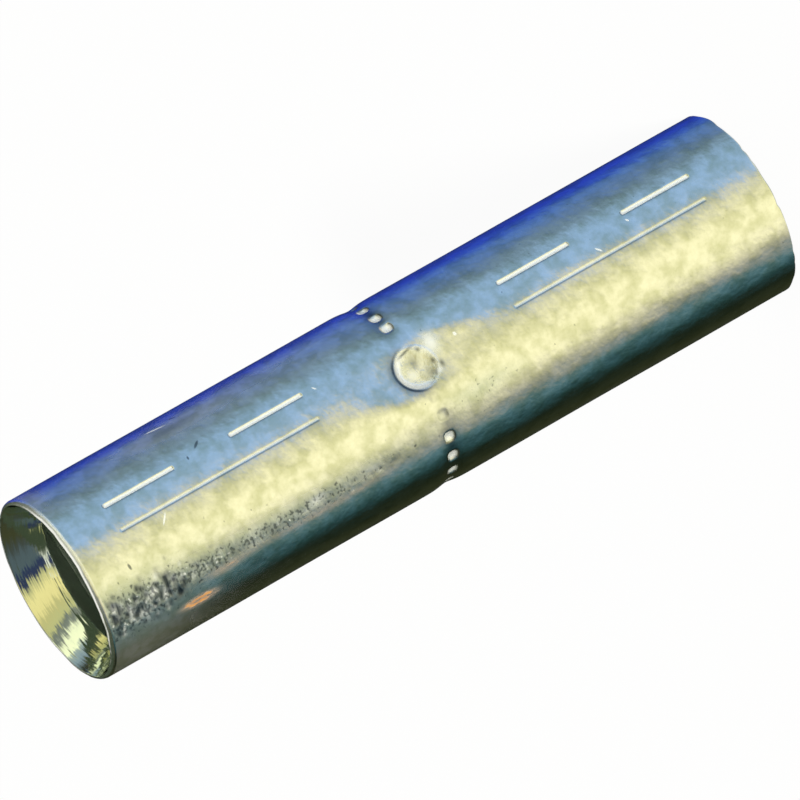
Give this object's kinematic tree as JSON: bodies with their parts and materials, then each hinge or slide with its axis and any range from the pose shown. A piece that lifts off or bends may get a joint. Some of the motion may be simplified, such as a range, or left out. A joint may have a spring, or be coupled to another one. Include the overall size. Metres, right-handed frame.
{
  "type": "butt splice connector",
  "caption": "Tinned copper tube, open at both mouths, with a punched centre stop, a rolled ring of pits and stamped crimp marks, that joins two conductors end to end.",
  "frame": {"origin": "centre of the lower mouth, on the surface that the tube stands on", "axes": "+Z along the bore to the upper mouth, the punched stop and crimp marks face -Y"},
  "size_m": [0.0106, 0.0106, 0.044],
  "materials": {
    "tinned_copper": "bright tin plate over copper, lightly scuffed"
  },
  "bodies": {
    "root": {"splice_barrel": "tinned_copper"}
  },
  "joints": []
}
